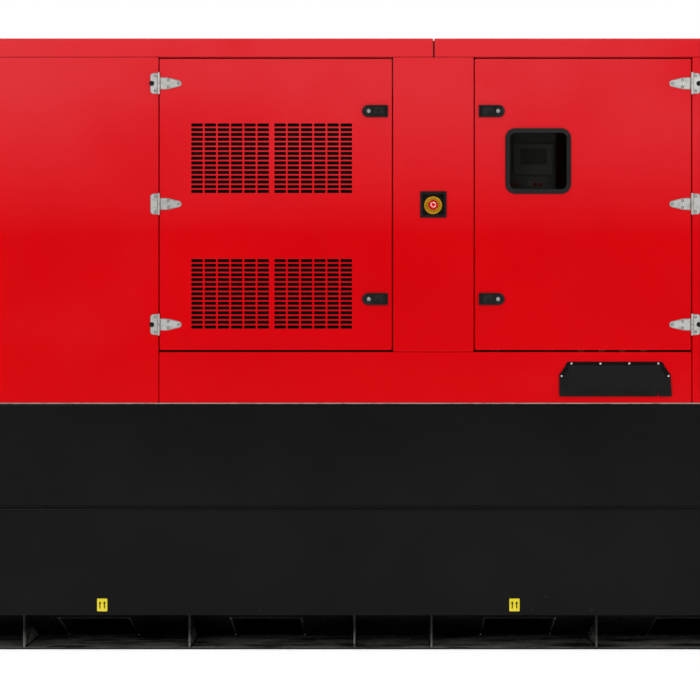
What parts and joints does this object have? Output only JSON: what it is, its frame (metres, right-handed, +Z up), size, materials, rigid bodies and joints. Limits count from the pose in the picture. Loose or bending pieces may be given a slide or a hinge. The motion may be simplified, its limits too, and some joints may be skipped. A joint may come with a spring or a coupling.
{
  "type": "engine driven power and welding set",
  "caption": "Engine driven power set in a red sheet metal canopy with louvred and windowed doors, on a black base with fuel tank and fork pockets.",
  "frame": {"origin": "on the floor under the middle of the set's length and width", "axes": "+X along the set to the right of the service side, -Y out of the service side, +Z up"},
  "size_m": [4.2, 1.4686, 2.542],
  "materials": {
    "base_black": "gloss black paint",
    "marker_yellow": "yellow plate",
    "cap_black": "moulded black",
    "mount_rubber": "black rubber",
    "gasket_pale": "pale foam rubber",
    "canopy_red": "gloss red powder coat",
    "liner_foam": "faced sound foam",
    "pane": "dark tinted pane",
    "stainless": "polished stainless steel",
    "latch_black": "satin black coat",
    "stop_red": "red moulding",
    "engine_paint": "engine enamel",
    "bright_steel": "machined steel",
    "fan_plastic": "black moulding",
    "radiator_black": "matt black",
    "exhaust_steel": "heat stained steel",
    "cabinet_grey": "textured grey",
    "insulating_board": "laminated board"
  },
  "bodies": {
    "root": {"skid_side_front": "base_black", "skid_side_rear": "base_black", "base_ends": "base_black", "skid_gussets": "base_black", "fork_pocket_tubes": "base_black", "fork_markers": "marker_yellow", "fuel_tank": "base_black", "upper_rail_front": "base_black", "upper_rail_rear": "base_black", "engine_bearers": "base_black", "engine_mounts": "mount_rubber", "canopy_gasket": "gasket_pale", "joint_strips": "mount_rubber", "front_left_panel": "canopy_red", "front_right_panel": "canopy_red", "front_post": "canopy_red", "front_sill": "canopy_red", "rear_panels": "canopy_red", "left_end_panel": "canopy_red", "right_end_panel": "canopy_red", "roof_left": "canopy_red", "roof_right": "canopy_red", "hinge_leaves": "stainless", "stop_bezel": "latch_black", "flap_strip": "latch_black", "engine_block": "engine_paint", "cylinder_head": "engine_paint", "radiator": "radiator_black", "exhaust_system": "exhaust_steel", "generator_stator": "engine_paint", "control_cabinet": "cabinet_grey", "control_plate": "cabinet_grey", "output_board": "insulating_board", "battery": "fan_plastic"},
    "louvre_door": {"louvre_door": "canopy_red", "louvre_door_liner": "liner_foam", "louvre_door_straps": "stainless", "louvre_door_latches": "latch_black"},
    "window_door": {"window_door": "canopy_red", "window_seal": "mount_rubber", "window_glass": "pane", "window_door_straps": "stainless", "window_door_latches": "latch_black"},
    "service_door": {"service_door": "canopy_red", "service_door_straps": "stainless", "service_door_latches": "latch_black"},
    "louvre_paddle_top": {"louvre_paddle_top": "latch_black"},
    "louvre_paddle_low": {"louvre_paddle_low": "latch_black"},
    "window_paddle_top": {"window_paddle_top": "latch_black"},
    "window_paddle_low": {"window_paddle_low": "latch_black"},
    "service_paddle_top": {"service_paddle_top": "latch_black"},
    "service_paddle_low": {"service_paddle_low": "latch_black"},
    "stop_head": {"stop_head": "stop_red"},
    "cable_flap": {"cable_flap": "mount_rubber"},
    "fuel_cap": {"fuel_cap": "cap_black"},
    "rain_cap": {"rain_cap": "stainless"},
    "crank_train": {"crank_train": "bright_steel"},
    "cooling_fan": {"cooling_fan": "fan_plastic"},
    "key_switch": {"key_switch": "bright_steel"},
    "breaker_handle": {"breaker_handle": "cap_black"}
  },
  "joints": [
    {"name": "louvre_door_swing", "type": "hinge", "parent": "root", "child": "louvre_door", "pos_m": [-0.938, -0.7298, 1.784], "axis": [0, 0, -1], "range_deg": [0, 120]},
    {"name": "window_door_swing", "type": "hinge", "parent": "root", "child": "window_door", "pos_m": [1.198, -0.7298, 1.784], "axis": [0, 0, 1], "range_deg": [0, 120]},
    {"name": "service_door_swing", "type": "hinge", "parent": "root", "child": "service_door", "pos_m": [-0.938, 0.7298, 1.784], "axis": [0, 0, 1], "range_deg": [0, 120]},
    {"name": "louvre_paddle_top_lift", "type": "hinge", "parent": "louvre_door", "child": "louvre_paddle_top", "pos_m": [-0.08, -0.72955, 2.157], "axis": [0, 0, -1], "range_deg": [0, 50]},
    {"name": "louvre_paddle_low_lift", "type": "hinge", "parent": "louvre_door", "child": "louvre_paddle_low", "pos_m": [-0.08, -0.72955, 1.404], "axis": [0, 0, -1], "range_deg": [0, 50]},
    {"name": "window_paddle_top_lift", "type": "hinge", "parent": "window_door", "child": "window_paddle_top", "pos_m": [0.404, -0.72955, 2.157], "axis": [0, 0, 1], "range_deg": [0, 50]},
    {"name": "window_paddle_low_lift", "type": "hinge", "parent": "window_door", "child": "window_paddle_low", "pos_m": [0.404, -0.72955, 1.404], "axis": [0, 0, 1], "range_deg": [0, 50]},
    {"name": "service_paddle_top_lift", "type": "hinge", "parent": "service_door", "child": "service_paddle_top", "pos_m": [-0.08, 0.72955, 2.157], "axis": [0, 0, 1], "range_deg": [0, 50]},
    {"name": "service_paddle_low_lift", "type": "hinge", "parent": "service_door", "child": "service_paddle_low", "pos_m": [-0.08, 0.72955, 1.404], "axis": [0, 0, 1], "range_deg": [0, 50]},
    {"name": "stop_push", "type": "slide", "parent": "root", "child": "stop_head", "axis": [0, 1, 0], "range_m": [0, 0.005]},
    {"name": "cable_flap_lift", "type": "hinge", "parent": "root", "child": "cable_flap", "pos_m": [0.889, -0.7293, 1.1387], "axis": [-1, 0, 0], "range_deg": [0, 80]},
    {"name": "fuel_cap_turn", "type": "hinge", "parent": "root", "child": "fuel_cap", "pos_m": [-0.86, -0.52, 1.06], "axis": [0, 0, 1], "range_deg": [0, 90]},
    {"name": "rain_cap_lift", "type": "hinge", "parent": "root", "child": "rain_cap", "pos_m": [-1.78, 0, 2.533], "axis": [0, 1, 0], "range_deg": [0, 75]},
    {"name": "crank_spin", "type": "hinge", "parent": "root", "child": "crank_train", "pos_m": [0, 0, 1.12], "axis": [1, 0, 0], "continuous": true},
    {"name": "fan_spin", "type": "hinge", "parent": "root", "child": "cooling_fan", "pos_m": [-1.35, 0, 1.325], "axis": [1, 0, 0], "continuous": true},
    {"name": "key_turn", "type": "hinge", "parent": "root", "child": "key_switch", "pos_m": [0.558, -0.625, 1.878], "axis": [0, 1, 0], "range_deg": [0, 90]},
    {"name": "breaker_turn", "type": "hinge", "parent": "root", "child": "breaker_handle", "pos_m": [0.828, -0.657, 1.388], "axis": [0, 1, 0], "range_deg": [0, 90]}
  ],
  "couplings": [
    {"joint": "fan_spin", "follows": "crank_spin", "ratio": 1.2667}
  ]
}
